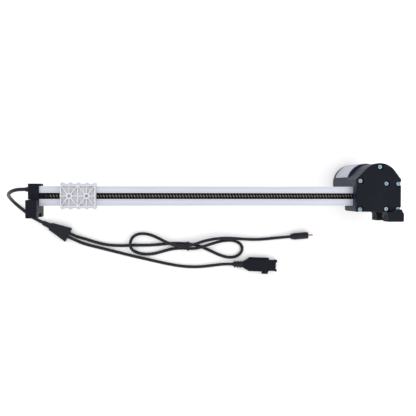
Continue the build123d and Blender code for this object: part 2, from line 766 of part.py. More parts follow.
# ================= slider =================
plate_z0 = rail_top_z + slide_gap
skirt_z0 = rail_base_z + 2.0
hole_spots = [(slider_x - hole_pitch / 2, screw_y), (slider_x + hole_pitch / 2, screw_y)]
pocket_z = plate_z0 + slider_plate
inner_half = half_w + slide_gap
tongue_half = slot_width / 2 - free_gap
tongue_length = 40.0
with BuildPart() as slider:
    with BuildSketch(Plane.XY.offset(plate_z0)):
        with Locations((slider_x, screw_y)):
            Rectangle(slider_length, 2 * slider_half_width)
    extrude(amount=slider_top_z - plate_z0)
    fillet(slider.edges().filter_by(Axis.Z), 1.5)
    with BuildSketch(Plane.XY.offset(skirt_z0)):
        with Locations((slider_x, screw_y)):
            Rectangle(slider_length + 1.6, 2 * skirt_half_width)
        for side in (-1, 1):
            for step in range(-2, 3):
                with Locations((slider_x + step * slider_length / 4.3, screw_y + side * skirt_half_width)):
                    Circle(2.6)
    extrude(amount=plate_z0 + 1.5 - skirt_z0)
    with BuildSketch(Plane.XY.offset(skirt_z0)):
        with Locations((slider_x, screw_y)):
            Rectangle(slider_length + 10, 2 * inner_half)
    extrude(amount=plate_z0 - skirt_z0, mode=Mode.SUBTRACT)
    # ribbed pockets with two bored bosses
    with BuildSketch(Plane.XY.offset(pocket_z)):
        with Locations((slider_x, screw_y)):
            Rectangle(slider_length - 2 * rim_thickness, 2 * slider_half_width - 2 * rim_thickness)
    extrude(amount=slider_top_z - pocket_z, mode=Mode.SUBTRACT)
    rib_x = slider_length / 2 - rim_thickness / 2
    rib_y = slider_half_width - rim_thickness / 2
    with BuildSketch(Plane.XY.offset(pocket_z)):
        with Locations(hole_spots):
            Circle(boss_radius)
        with Locations((slider_x, screw_y)):
            Rectangle(rib_thickness, 2 * rib_y)
            Rectangle(2 * rib_x, rib_thickness)
        with Locations(hole_spots):
            Rectangle(rib_thickness, 2 * rib_y)
        for (boss_x, boss_y), side in zip(hole_spots, (-1, 1)):
            for edge_x in (slider_x, slider_x + side * rib_x):
                for edge_y in (screw_y - rib_y, screw_y + rib_y):
                    run_x = edge_x - boss_x
                    run_y = edge_y - boss_y
                    mid = ((edge_x + boss_x) / 2, (edge_y + boss_y) / 2)
                    with Locations(Location((*mid, 0), (0, 0, math.degrees(math.atan2(run_y, run_x))))):
                        Rectangle(math.hypot(run_x, run_y), rib_thickness)
    extrude(amount=slider_top_z - pocket_z - 0.4)
    # recess for the nut tongue, and the threaded mounting holes
    with BuildSketch(Plane.XY.offset(plate_z0)):
        with Locations((slider_x, screw_y)):
            Rectangle(tongue_length + 2 * seat_gap, 2 * tongue_half + 2 * seat_gap)
    extrude(amount=2.6, mode=Mode.SUBTRACT)
    with BuildSketch(Plane.XY.offset(slider_top_z - hole_depth)):
        with Locations(hole_spots):
            Circle(hole_radius)
    extrude(amount=hole_depth, mode=Mode.SUBTRACT)
    # recesses for the glide strips
    for side in (-1, 1):
        with Locations((slider_x, screw_y + side * (inner_half + glide_depth / 2), screw_z)):
            Box(glide_length, glide_depth, glide_height, mode=Mode.SUBTRACT)
keep(slider, "slider_block")

nut_half = half_w - rail_wall - slide_gap
nut_low = rail_base_z + rail_wall + 2 * wire_radius + free_gap
nut_high = rail_top_z - lip_thickness - slide_gap
with BuildPart() as nut:
    with BuildSketch(Plane.XY.offset(nut_low)):
        with Locations((slider_x, screw_y)):
            RectangleRounded(nut_length, 2 * nut_half, 2.0)
    extrude(amount=nut_high - nut_low)
    with BuildSketch(Plane.XY.offset(nut_high)):
        with Locations((slider_x, screw_y)):
            Rectangle(tongue_length, 2 * tongue_half)
    extrude(amount=plate_z0 + 2.4 - nut_high)
    with BuildSketch(across(slider_x - nut_length / 2)):
        Circle(screw_radius + run_gap)
    extrude(amount=nut_length, mode=Mode.SUBTRACT)
keep(nut, "drive_nut")

with BuildPart() as glides:
    for side in (-1, 1):
        with Locations((slider_x, screw_y + side * (inner_half + (glide_depth - glide_stand) / 2), screw_z)):
            Box(glide_length, glide_depth + glide_stand, glide_height)
keep(glides, "glide_strips")

# ================= cords =================
# The cords belong to the tail, so their points are given from a spot this far ahead of it.
cord_datum = 626.0
cord_x = rail_left + cord_datum


def cord_path(points):
    """Straight runs joined by tangent arcs, each as large as its two runs allow."""
    spots = [Vector(cord_x + x, screw_y + y, z) for x, y, z in points]
    radii = []
    for before, here, after in zip(spots, spots[1:], spots[2:]):
        incoming = here - before
        outgoing = after - here
        turn = math.radians(incoming.get_angle(outgoing))
        radii.append(0.45 * min(incoming.length, outgoing.length) / math.tan(turn / 2))
    with BuildLine() as line:
        FilletPolyline(*spots, radius=radii)
    return line.wires()[0], radii


def cord(name, points, diameter):
    """Round cord along a route."""
    path, radii = cord_path(points)
    with BuildPart() as tube:
        with BuildSketch(Plane(origin=path @ 0, z_dir=path % 0)):
            Circle(diameter / 2)
        sweep(path=path)
    ideal = math.pi * diameter ** 2 / 4 * path.length
    print(name, "length", round(path.length, 1), "smallest radius", round(min(radii), 1),
          "volume ratio", round(tube.part.volume / ideal, 4))
    print(name, "radii", [round(r) for r in radii])
    keep(tube, name)


# splitter: a flat wedge with a tapered neck, lying on the floor
split_turn = -26.5
split_face = (-585.6, -85.6)             # middle of its wide end
split_length = 43.5
split_neck = 16.5
split_wide = 32.6
split_narrow = 16.2
split_height = 12.0
split_mid = split_height / 2
branch_offset = 3.9
along = (math.cos(math.radians(split_turn)), math.sin(math.radians(split_turn)))
neck_start = (
    split_face[0] - along[0] * (split_length + split_neck),
    split_face[1] - along[1] * (split_length + split_neck),
)


def beyond(point, direction, distance):
    """Point at a distance along a level direction."""
    return (point[0] + direction[0] * distance, point[1] + direction[1] * distance)


with BuildPart() as splitter:
    flat = Plane(
        origin=(cord_x + split_face[0], screw_y + split_face[1], 0),
        x_dir=(along[0], along[1], 0),
        z_dir=(0, 0, 1),
    )
    with BuildSketch(flat):
        with BuildLine():
            Polyline(
                (0, split_wide / 2),
                (-split_length, split_narrow / 2),
                (-split_length, -split_narrow / 2),
                (0, -split_wide / 2),
                close=True,
            )
        make_face()
    extrude(amount=split_height)
    fillet(splitter.edges(), 1.5)
keep(splitter, "splitter")

neck_plane = Plane(
    origin=(cord_x + neck_start[0], screw_y + neck_start[1], split_mid),
    z_dir=(along[0], along[1], 0),
)
with BuildPart() as neck:
    with BuildSketch(neck_plane):
        Circle(lead_diameter / 2 + 1.6)
    with BuildSketch(neck_plane.offset(split_neck)):
        Circle(split_mid - 0.1)
    loft()
keep(neck, "splitter_neck")

# main lead: out of the tail cap, down to the floor and under the tail to the splitter
lead_start = (tail_left - gland_length - cord_x, cord_exit_y, screw_z)
main_lay = lead_diameter / 2
lead_in = beyond(neck_start, along, -14.0)
main_points = [
    lead_start,
    (-666.5, cord_exit_y, screw_z),
    (-678.0, 10.6, 117.0),
    (-688.0, 6.8, 103.0),
    (-695.0, 2.6, 84.0),
    (-698.6, -1.8, 62.0),
    (-699.4, -7.0, 40.5),
    (-697.0, -14.0, 22.5),
    (-690.5, -22.5, 10.0),
    (-679.5, -32.5, main_lay + 0.4),
    (-666.5, -43.5, main_lay + 0.1),
    (*lead_in, split_mid),
    (*neck_start, split_mid),
]
cord("main_lead", main_points, lead_diameter)

# branch A: a figure of eight held by a tie, then the small plug
side_step = (-along[1], along[0])
branch_a_start = beyond(split_face, side_step, branch_offset)
branch_b_start = beyond(split_face, side_step, -branch_offset)
lay = branch_diameter / 2
over = lay + 10.6
rising = lay + 2.2
in_tie = lay + 1.2
plug_start = (-95.8, -92.2)
plug_turn = 4.2
plug_along = (math.cos(math.radians(plug_turn)), math.sin(math.radians(plug_turn)))
plug_radius = 7.5
branch_a_points = [
    (*branch_a_start, split_mid),
    (*beyond(branch_a_start, along, 15.0), split_mid),
    (-551.0, -94.3, lay + 0.7),
    (-530.0, -101.4, lay),
    (-504.0, -108.2, lay),
    (-474.0, -110.0, lay),
    (-444.0, -108.9, lay),
    (-414.0, -109.6, lay),
    (-386.0, -107.6, lay),
    (-358.4, -105.0, lay),
    (-330.0, -106.4, in_tie),
    (-305.2, -110.7, lay),
    (-282.8, -120.3, lay),
    (-260.4, -131.2, lay),
    (-239.5, -138.2, lay),
    (-220.5, -137.2, lay),
    (-207.4, -127.6, lay),
    (-205.6, -113.6, lay),
    (-215.2, -103.6, lay),
    (-231.2, -99.3, lay),
    (-252.9, -100.8, rising),
    (-277.3, -106.8, over),
    (-297.3, -112.9, over + 0.8),
    (-314.1, -117.6, lay + 6.4),
    (-336.3, -116.2, in_tie),
    (-359.5, -117.0, lay),
    (-381.5, -122.6, lay),
    (-402.4, -128.4, lay),
    (-423.0, -129.6, lay),
    (-441.7, -124.8, lay),
    (-453.0, -115.7, over),
    (-454.6, -101.6, over),
    (-448.4, -89.4, lay + 1.6),
    (-434.0, -83.3, lay),
    (-414.4, -84.7, lay),
    (-394.7, -92.6, rising),
    (-376.9, -101.6, over),
    (-357.8, -109.6, over),
    (-337.0, -111.8, over),
    (-316.1, -108.0, over),
    (-294.0, -100.2, over),
    (-270.7, -95.4, over),
    (-243.9, -93.6, over),
    (-216.8, -95.4, over - 1.0),
    (-188.4, -98.4, lay + 1.2),
    (-160.0, -98.2, lay),
    (-133.0, -95.4, lay + 0.8),
    (*beyond(plug_start, plug_along, -18.0), plug_radius),
    (*plug_start, plug_radius),
]
cord("branch_a", branch_a_points, branch_diameter)

# branch B: a gentle bend to the connector
connector_start = (-227.4, -152.6)
connector_turn = -2.5
connector_along = (math.cos(math.radians(connector_turn)), math.sin(math.radians(connector_turn)))
connector_height = 16.0
connector_mid = connector_height / 2
branch_b_points = [
    (*branch_b_start, split_mid),
    (*beyond(branch_b_start, along, 15.0), split_mid),
    (-554.0, -105.0, lay + 0.7),
    (-527.0, -112.2, lay),
    (-493.7, -120.8, lay),
    (-456.0, -130.9, lay),
    (-418.0, -140.0, lay),
    (-378.0, -149.8, lay),
    (-338.4, -157.4, lay),
    (-301.6, -158.6, lay),
    (-270.0, -155.0, lay + 1.0),
    (*beyond(connector_start, connector_along, -18.0), connector_mid),
    (*connector_start, connector_mid),
]
cord("branch_b", branch_b_points, branch_diameter)

# tie round the three strands in the middle of the figure of eight
tie_x = cord_x - 328.0
tie_y = screw_y - 111.5
tie_wall = 0.6
tie_width = 19.0
tie_height = over + lay + 1.2
tie_length = 4.0
with BuildPart() as tie:
    with BuildSketch(Plane(origin=(tie_x - tie_length / 2, tie_y, 0), x_dir=(0, 1, 0), z_dir=(1, 0, 0))):
        with Locations((0, tie_height / 2)):
            RectangleRounded(tie_width, tie_height, 1.6)
            RectangleRounded(tie_width - 2 * tie_wall, tie_height - 2 * tie_wall, 1.0,
                             mode=Mode.SUBTRACT)
    extrude(amount=tie_length)
keep(tie, "tie")

# small plug: a body with a strain relief step and a round pin
plug_length = 38.6
plug_relief = 6.0
pin_radius = 2.1
pin_socket = 9.0
pin_reach = 11.3
plug_origin = (cord_x + plug_start[0], screw_y + plug_start[1], plug_radius)
plug_plane = Plane(origin=plug_origin, z_dir=(plug_along[0], plug_along[1], 0))
with BuildPart() as plug:
    with BuildSketch(plug_plane):
        Circle(plug_radius - 1.2)
    extrude(amount=plug_relief)
    with BuildSketch(plug_plane.offset(plug_relief)):
        Circle(plug_radius)
    extrude(amount=plug_length - plug_relief)
    fillet(plug.edges().filter_by(GeomType.CIRCLE).sort_by(Axis.X)[-1], 0.8)
    with BuildSketch(plug_plane.offset(plug_length - pin_socket)):
        Circle(pin_radius)
    extrude(amount=pin_socket, mode=Mode.SUBTRACT)
keep(plug, "plug_body")
with BuildPart() as pin:
    with BuildSketch(plug_plane.offset(plug_length - pin_socket)):
        Circle(pin_radius)
    extrude(amount=pin_socket + pin_reach)
    fillet(pin.edges().sort_by(Axis.X)[-1], 0.8)
keep(pin, "plug_pin")

# larger connector: ribbed strain relief, tapered body with a raised ledge, mouth and latch
relief_length = 22.0
relief_radius = 6.6
rib_count = 3
shoulder_length = 13.0
body_length = 58.0
mouth_length = 18.0
lip_length = 3.0
body_near = 13.7             # body width on the latch side of the cord axis
body_far = 13.2              # body width on the other side
ledge_width = 3.6
mouth_width = 24.0
mouth_wall = 1.5
contact_radius = 1.6
latch_length = 13.0
latch_reach = 5.6
body_end = relief_length + body_length
connector_origin = (cord_x + connector_start[0], screw_y + connector_start[1], connector_mid)
connector_plane = Plane(
    origin=connector_origin,
    x_dir=(-connector_along[1], connector_along[0], 0),
    z_dir=(connector_along[0], connector_along[1], 0),
)
connector_flat = Plane(
    origin=(connector_origin[0], connector_origin[1], 0),
    x_dir=(connector_along[0], connector_along[1], 0),
    z_dir=(0, 0, 1),
)
with BuildPart() as relief:
    with BuildSketch(connector_plane):
        Circle(branch_diameter / 2 + 1.0)
    with BuildSketch(connector_plane.offset(relief_length)):
        Circle(relief_radius)
    loft()
    for rib in range(rib_count):
        with BuildSketch(connector_plane.offset(2.4 + rib * 6.4)):
            Circle(relief_radius + 0.4 + rib * 0.3)
        extrude(amount=3.6)
keep(relief, "connector_relief")

with BuildPart() as connector:
    with BuildSketch(connector_flat):
        with BuildLine():
            Polyline(
                (relief_length, -relief_radius),
                (relief_length + shoulder_length, -body_near),
                (body_end, -body_near),
                (body_end, body_far),
                (relief_length + shoulder_length, body_far),
                (relief_length, relief_radius),
                close=True,
            )
        make_face()
    extrude(amount=connector_height)
    fillet(connector.edges().filter_by(Axis.Z), 1.2)
    chamfer(connector.faces().sort_by(Axis.Z)[-1].edges(), 1.0)
    with BuildSketch(connector_flat.offset(connector_height / 4)):
        with BuildLine():
            Polyline(
                (relief_length + shoulder_length - 4.0, body_far - 1.0),
                (relief_length + shoulder_length + 2.0, body_far + ledge_width),
                (body_end, body_far + ledge_width),
                (body_end, body_far - 1.0),
                close=True,
            )
        make_face()
    extrude(amount=connector_height / 2)
    with BuildSketch(connector_plane.offset(body_end)):
        RectangleRounded(mouth_width, connector_height - 2.0, 2.0)
    extrude(amount=mouth_length - lip_length)
    with BuildSketch(connector_plane.offset(body_end + mouth_length - lip_length)):
        RectangleRounded(mouth_width + 2.0, connector_height - 1.0, 2.0)
    extrude(amount=lip_length)
    with BuildSketch(connector_plane.offset(body_end + 1.0)):
        RectangleRounded(mouth_width - 2 * mouth_wall, connector_height - 2.0 - 2 * mouth_wall, 1.0)
    extrude(amount=mouth_length, mode=Mode.SUBTRACT)
    # grip window between the two lips of the mouth
    with BuildSketch(connector_flat.offset(connector_mid)):
        with Locations((body_end + mouth_length, 0)):
            Rectangle(5.0, mouth_width - 9.0)
    extrude(amount=connector_height, mode=Mode.SUBTRACT)
keep(connector, "connector_body")

with BuildPart() as contacts:
    for side in (-1, 1):
        with BuildSketch(connector_plane.offset(body_end + 1.0)):
            with Locations((side * mouth_width / 4, 0)):
                Circle(contact_radius)
        extrude(amount=mouth_length - 5.0)
keep(contacts, "connector_pins")

with BuildPart() as latch:
    with BuildSketch(connector_plane.offset(body_end - latch_length - 1.0)):
        with Locations((-body_near - latch_reach / 2, 0)):
            RectangleRounded(latch_reach, connector_height / 2, 1.0)
    extrude(amount=latch_length)
keep(latch, "connector_latch")

for part in nodes:
    export_step(part, f"parts/{part.label}.step")
print(len(nodes), "nodes")
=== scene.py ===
"""Rail linear actuator: looks, cords, light and camera."""

import json
import logging
import math
from collections.abc import Callable, Sequence
from dataclasses import dataclass
from enum import Enum

import bmesh
import bpy
from mathutils import Euler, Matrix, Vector


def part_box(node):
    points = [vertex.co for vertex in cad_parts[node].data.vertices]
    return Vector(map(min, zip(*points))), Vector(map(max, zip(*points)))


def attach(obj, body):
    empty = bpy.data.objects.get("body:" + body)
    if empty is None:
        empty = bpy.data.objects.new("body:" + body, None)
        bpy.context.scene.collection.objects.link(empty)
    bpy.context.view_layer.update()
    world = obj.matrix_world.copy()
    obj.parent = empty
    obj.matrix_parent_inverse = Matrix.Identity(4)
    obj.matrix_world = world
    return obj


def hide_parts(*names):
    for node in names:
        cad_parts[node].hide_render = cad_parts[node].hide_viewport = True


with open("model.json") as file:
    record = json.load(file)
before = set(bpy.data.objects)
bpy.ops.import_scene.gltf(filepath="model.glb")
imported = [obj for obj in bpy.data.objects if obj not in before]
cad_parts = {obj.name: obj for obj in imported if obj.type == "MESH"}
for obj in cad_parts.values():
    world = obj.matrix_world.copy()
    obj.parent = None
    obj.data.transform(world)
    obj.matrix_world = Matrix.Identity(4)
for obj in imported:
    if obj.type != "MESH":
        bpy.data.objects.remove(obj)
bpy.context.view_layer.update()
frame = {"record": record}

MM = 0.001
SAME_SPOT = 1e-6
RAIL_END_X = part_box("gearbox_cover")[0][0]
SCREW_Y = (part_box("rail")[0][1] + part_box("rail")[1][1]) / 2
SCREW_Z = (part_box("rail")[0][2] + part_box("rail")[1][2]) / 2
log = logging.getLogger("actuator")

Point = tuple[float, float, float]
Colour = tuple[float, float, float]


class Body(str, Enum):
    """Bodies that new pieces ride on."""

    FRAME = "frame"
    SCREW = "screw"


class Slot(str, Enum):
    """Material slots of the record used by new pieces."""

    DARK_STEEL = "dark_steel"
    BLACK_PVC = "black_pvc"


class Op(str, Enum):
    """Operations of the Math node."""

    ADD = "ADD"
    SUB = "SUBTRACT"
    MUL = "MULTIPLY"
    DIV = "DIVIDE"
    POWER = "POWER"
    ABS = "ABSOLUTE"
    LESS = "LESS_THAN"
    MINIMUM = "MINIMUM"
    MAXIMUM = "MAXIMUM"


# ---------------------------------------------------------------- shader maths


class Expr:
    """A number in a shader: a node's output socket that takes part in Python sums."""

    def __init__(self, shader: "Shader", socket: bpy.types.NodeSocket) -> None:
        """Wrap a socket.

        Args:
            shader: The shader that owns the node.
            socket: The output socket.
        """
        self.shader = shader
        self.socket = socket

    def _math(self, op: Op, *values: "Expr | float") -> "Expr":
        """Combine values with a Math node.

        Args:
            op: The operation.
            values: Its inputs in order.

        Returns:
            The result.
        """
        inputs = {i: v for i, v in enumerate(values)}
        return self.shader.value("ShaderNodeMath", {"operation": op.value}, inputs)

    def __add__(self, other: "Expr | float") -> "Expr":
        """Return self + other."""
        return self._math(Op.ADD, self, other)

    def __radd__(self, other: float) -> "Expr":
        """Return other + self."""
        return self._math(Op.ADD, other, self)

    def __sub__(self, other: "Expr | float") -> "Expr":
        """Return self - other."""
        return self._math(Op.SUB, self, other)

    def __rsub__(self, other: float) -> "Expr":
        """Return other - self."""
        return self._math(Op.SUB, other, self)

    def __mul__(self, other: "Expr | float") -> "Expr":
        """Return self * other."""
        return self._math(Op.MUL, self, other)

    def __rmul__(self, other: float) -> "Expr":
        """Return other * self."""
        return self._math(Op.MUL, other, self)

    def __truediv__(self, other: "Expr | float") -> "Expr":
        """Return self / other."""
        return self._math(Op.DIV, self, other)

    def __rtruediv__(self, other: float) -> "Expr":
        """Return other / self."""
        return self._math(Op.DIV, other, self)

    def __pow__(self, other: "Expr | float") -> "Expr":
        """Return self to a power."""
        return self._math(Op.POWER, self, other)

    def __lt__(self, other: "Expr | float") -> "Expr":
        """Return 1 where self is below other, else 0."""
        return self._math(Op.LESS, self, other)

    def __abs__(self) -> "Expr":
        """Return the size of self."""
        return self._math(Op.ABS, self)

    def clamp(self) -> "Expr":
        """Return self held between 0 and 1."""
        return self._math(Op.MINIMUM, self._math(Op.MAXIMUM, self, 0.0), 1.0)

    def ramp(self, low: float, high: float) -> "Expr":
        """Return 0 at low and 1 at high, held outside them.

        Args:
            low: Value that gives 0.
            high: Value that gives 1.

        Returns:
            The ramp.
        """
        return ((self - low) / (high - low)).clamp()


class Tint:
    """A colour in a shader: mixes with other colours by a factor."""

    def __init__(self, shader: "Shader", value: "bpy.types.NodeSocket | Colour") -> None:
        """Wrap a colour.

        Args:
            shader: The shader that owns the nodes.
            value: A socket or a plain colour.
        """
        self.shader = shader
        self.value = value if isinstance(value, bpy.types.NodeSocket) else (*value, 1.0)

    def mix(self, other: "Tint | Colour", factor: Expr) -> "Tint":
        """Mix with another colour.

        Args:
            other: The other colour.
            factor: 0 keeps self, 1 gives other.

        Returns:
            The mix.
        """
        tint = other if isinstance(other, Tint) else Tint(self.shader, other)
        node = self.shader.node(
            "ShaderNodeMix",
            {"data_type": "RGBA"},
            {"Factor": factor, 6: self, 7: tint},
        )
        return Tint(self.shader, node.outputs[2])


class Place:
    """A position in a shader: scales, and gives its three numbers."""

    def __init__(self, shader: "Shader", socket: bpy.types.NodeSocket) -> None:
        """Wrap a vector socket.

        Args:
            shader: The shader that owns the node.
            socket: The vector output.
        """
        self.shader = shader
        self.socket = socket

    def __mul__(self, factors: Point) -> "Place":
        """Return the position scaled along each axis."""
        node = self.shader.node(
            "ShaderNodeVectorMath", {"operation": "MULTIPLY"}, {0: self, 1: factors}
        )
        return Place(self.shader, node.outputs[0])

    def split(self) -> tuple[Expr, Expr, Expr]:
        """Return the x, y and z of the position."""
        node = self.shader.node("ShaderNodeSeparateXYZ", {}, {0: self})
        x, y, z = (Expr(self.shader, out) for out in node.outputs)
        return x, y, z


class Shader:
    """One material under construction."""

    def __init__(self, name: str) -> None:
        """Make an empty material with its shader and output.

        Args:
            name: Name of the material.
        """
        self.material = bpy.data.materials.new(name)
        self.material.use_nodes = True
        self.tree = self.material.node_tree
        self.tree.nodes.clear()
        self.surface = self.node("ShaderNodeBsdfPrincipled", {}, {})
        output = self.node("ShaderNodeOutputMaterial", {}, {})
        self.tree.links.new(self.surface.outputs[0], output.inputs[0])
        coords = self.node("ShaderNodeTexCoord", {}, {})
        self.place = Place(self, coords.outputs["Object"])

    def node(self, kind: str, settings: dict, inputs: dict) -> bpy.types.Node:
        """Add a node.

        Args:
            kind: Node type.
            settings: Attributes, set before the inputs.
            inputs: Input name or index to a value, colour, vector or wrapped socket.

        Returns:
            The node.
        """
        made = self.tree.nodes.new(kind)
        for key, value in settings.items():
            setattr(made, key, value)
        for key, value in inputs.items():
            wrapped = getattr(value, "socket", value)
            source = value.value if isinstance(value, Tint) else wrapped
            if isinstance(source, bpy.types.NodeSocket):
                self.tree.links.new(source, made.inputs[key])
            else:
                made.inputs[key].default_value = source
        return made

    def value(
        self, kind: str, settings: dict, inputs: dict, output: int | str = 0
    ) -> Expr:
        """Add a node and wrap one of its number outputs.

        Args:
            kind: Node type.
            settings: Attributes, set before the inputs.
            inputs: Input name or index to value.
            output: The output wanted.

        Returns:
            The wrapped output.
        """
        return Expr(self, self.node(kind, settings, inputs).outputs[output])

    def noise(
        self, scale: float, detail: float = 3.0, stretch: Point = (1.0, 1.0, 1.0)
    ) -> Expr:
        """Return cloudy noise from 0 to 1.

        Args:
            scale: Lumps per metre.
            detail: Octaves.
            stretch: Scale along each axis.

        Returns:
            The noise.
        """
        where = self.place * stretch
        inputs = {"Vector": where, "Scale": scale, "Detail": detail}
        return self.value("ShaderNodeTexNoise", {}, inputs)

    def cells(self, scale: float) -> Expr:
        """Return distance to the nearest cell centre, for a spark-eroded grain.

        Args:
            scale: Cells per metre.

        Returns:
            The distance.
        """
        inputs = {"Vector": self.place, "Scale": scale}
        return self.value("ShaderNodeTexVoronoi", {}, inputs, "Distance")

    def uniform(self, **values: float) -> None:
        """Set sockets that are the same all over.

        Args:
            values: Socket name with underscores for spaces, and its value.
        """
        for key, value in values.items():
            self.surface.inputs[key.replace("_", " ")].default_value = value

    def feed(self, name: str, value: "Expr | Tint") -> None:
        """Link a varying value to a socket of the shader.

        Args:
            name: The socket.
            value: What feeds it.
        """
        source = value.value if isinstance(value, Tint) else value.socket
        if isinstance(source, bpy.types.NodeSocket):
            self.tree.links.new(source, self.surface.inputs[name])
        else:
            self.surface.inputs[name].default_value = source

    def bump(self, height: Expr, distance: float, strength: float = 1.0) -> None:
        """Raise the surface by a height.

        Args:
            height: Height from 0 to 1.
            distance: Height in metres at 1.
            strength: How much of it shows.
        """
        inputs = {"Height": height, "Distance": distance, "Strength": strength}
        node = self.node("ShaderNodeBump", {}, inputs)
        self.tree.links.new(node.outputs[0], self.surface.inputs["Normal"])


# ---------------------------------------------------------------- finishes


@dataclass(frozen=True)
class MouldedPlastic:
    """Injection-moulded plastic with a fine eroded grain and slight handling marks."""

    base: Colour
    worn: Colour
    roughness: float = 0.5
    grain: float = 1400.0
    depth: float = 0.00006
    shine: float = 0.16
    cloud_scale: float = 26.0
    smear_scale: float = 9.0
    ripple_scale: float = 420.0

    def build(self, name: str) -> bpy.types.Material:
        """Make the material.

        Args:
            name: Name of the material.

        Returns:
            The material.
        """
        shader = Shader(name)
        cloud = shader.noise(self.cloud_scale, 4.0)
        fine = shader.cells(self.grain)
        smear = shader.noise(self.smear_scale, 2.0, (1.0, 3.0, 1.0))
        worn = cloud.ramp(0.45, 0.8) * 0.7
        shader.feed("Base Color", Tint(shader, self.base).mix(self.worn, worn))
        shader.feed("Roughness", (self.roughness + (smear - 0.5) * 0.22 + fine * 0.1).clamp())
        shader.bump(fine * 0.7 + shader.noise(self.ripple_scale) * 0.5, self.depth, 0.6)
        shader.uniform(Specular_IOR_Level=self.shine)
        return shader.material


@dataclass(frozen=True)
class Extruded:
    """Anodised extrusion with die lines along X and a faint colour drift."""

    base: Colour
    shade: Colour
    roughness: float = 0.34
    metal: float = 0.85
    line_scale: float = 900.0
    drift_scale: float = 6.0
    etch_scale: float = 2600.0
    depth: float = 0.00004

    def build(self, name: str) -> bpy.types.Material:
        """Make the material.

        Args:
            name: Name of the material.

        Returns:
            The material.
        """
        shader = Shader(name)
        lines = shader.noise(self.line_scale, 3.0, (0.01, 1.0, 1.0))
        drift = shader.noise(self.drift_scale, 2.0)
        etch = shader.noise(self.etch_scale, 2.0)
        streaks = (lines * 0.6 + drift * 0.4).ramp(0.35, 0.75)
        shader.feed("Base Color", Tint(shader, self.base).mix(self.shade, streaks))
        gloss = self.roughness + (lines - 0.5) * 0.2 + (etch - 0.5) * 0.12
        shader.feed("Roughness", gloss.clamp())
        shader.uniform(Metallic=self.metal)
        shader.bump(lines * 0.7 + etch * 0.3, self.depth, 0.5)
        return shader.material


@dataclass(frozen=True)
class Metal:
    """Machined or plated metal with fine scratches and cloudy tarnish."""

    base: Colour
    tarnish: Colour
    roughness: float = 0.3
    scratch: Point = (1.0, 1.0, 0.06)
    amount: float = 0.6
    scratch_scale: float = 1500.0
    cloud_scale: float = 140.0
    depth: float = 0.00002

    def build(self, name: str) -> bpy.types.Material:
        """Make the material.

        Args:
            name: Name of the material.

        Returns:
            The material.
        """
        shader = Shader(name)
        scratches = shader.noise(self.scratch_scale, 3.0, self.scratch)
        cloud = shader.noise(self.cloud_scale, 4.0)
        dulled = cloud.ramp(0.4, 0.75) * self.amount
        shader.feed("Base Color", Tint(shader, self.base).mix(self.tarnish, dulled))
        gloss = self.roughness + (scratches - 0.5) * 0.25 + (cloud - 0.5) * 0.15
        shader.feed("Roughness", gloss.clamp())
        shader.uniform(Metallic=1.0)
        shader.bump(scratches, self.depth, 0.5)
        return shader.material


@dataclass(frozen=True)
class FilledNylon:
    """Glass-filled natural nylon: milky, mottled, with short bright fibres.

    Level faces at floor_z, the bottoms of the pockets, are mixed toward a fourth colour: in the
    natural nylon a lighter, greyer tint, a painted light that lifts the shade on the pocket
    floors; in the white acetal, whose floor_z is the floor, a darker tint of dust and old grease.
    """

    base: Colour
    shade: Colour
    fibre: Colour
    floor_light_and_grime: Colour
    floor_z: float
    roughness: float = 0.42
    cloud_scale: float = 60.0
    floor_band: float = 0.3 * MM
    depth: float = 0.00005

    def build(self, name: str) -> bpy.types.Material:
        """Make the material.

        Args:
            name: Name of the material.

        Returns:
            The material.
        """
        shader = Shader(name)
        cloud = shader.noise(self.cloud_scale, 5.0)
        along = shader.noise(1500.0, 2.0, (0.18, 1.0, 1.0))
        fibres = along * shader.noise(900.0, 1.0, (1.0, 0.2, 1.0))
        body = Tint(shader, self.base).mix(self.shade, cloud.ramp(0.4, 0.75) * 0.7)
        _, _, z = shader.place.split()
        # level faces at floor_z: on the natural nylon pocket floors the tint mixed in here is
        # painted light; on the white acetal it is grime
        floor_light_and_grime_mask = abs(z - self.floor_z) < self.floor_band
        body = body.mix(self.floor_light_and_grime, floor_light_and_grime_mask * (0.75 + cloud * 0.25))
        shader.feed("Base Color", body.mix(self.fibre, fibres.ramp(0.3, 0.5) * 0.6))
        shader.feed("Roughness", (self.roughness + (cloud - 0.5) * 0.2 - fibres * 0.1).clamp())
        shader.uniform(Subsurface_Weight=0.12, Subsurface_Scale=0.004)
        shader.bump(fibres + cloud * 0.2, self.depth, 0.5)
        return shader.material


@dataclass(frozen=True)
class GreasedSteel:
    """Dark rolled steel whose crests are rubbed bright and carry a painted highlight, and whose
    roots hold brown grease and are darkened further by painted shade, near black.
    """

    crest: Colour
    root: Colour
    crest_radius: float
    root_radius: float
    smear_scale: float = 260.0
    depth: float = 0.00006

    def build(self, name: str) -> bpy.types.Material:
        """Make the material.

        Args:
            name: Name of the material.

        Returns:
            The material.
        """
        shader = Shader(name)
        _, y, z = shader.place.split()
        radius = ((y - SCREW_Y) ** 2.0 + (z - SCREW_Z) ** 2.0) ** 0.5
        height = radius.ramp(self.root_radius, self.crest_radius)
        smear = shader.noise(self.smear_scale, 4.0)
        # crests lighter for wear plus a painted highlight; roots near black for grease plus
        # painted shade in the thread
        crest_wear_and_highlight = (height * 1.15 - (smear - 0.5) * 0.6).ramp(0.55, 1.0)
        shader.feed("Base Color", Tint(shader, self.root).mix(self.crest, crest_wear_and_highlight))
        shader.feed("Roughness", (0.5 - crest_wear_and_highlight * 0.22 + (smear - 0.5) * 0.2).clamp())
        shader.feed("Metallic", (0.35 + crest_wear_and_highlight * 0.6).clamp())
        shader.bump(smear, self.depth, 0.6)
        return shader.material


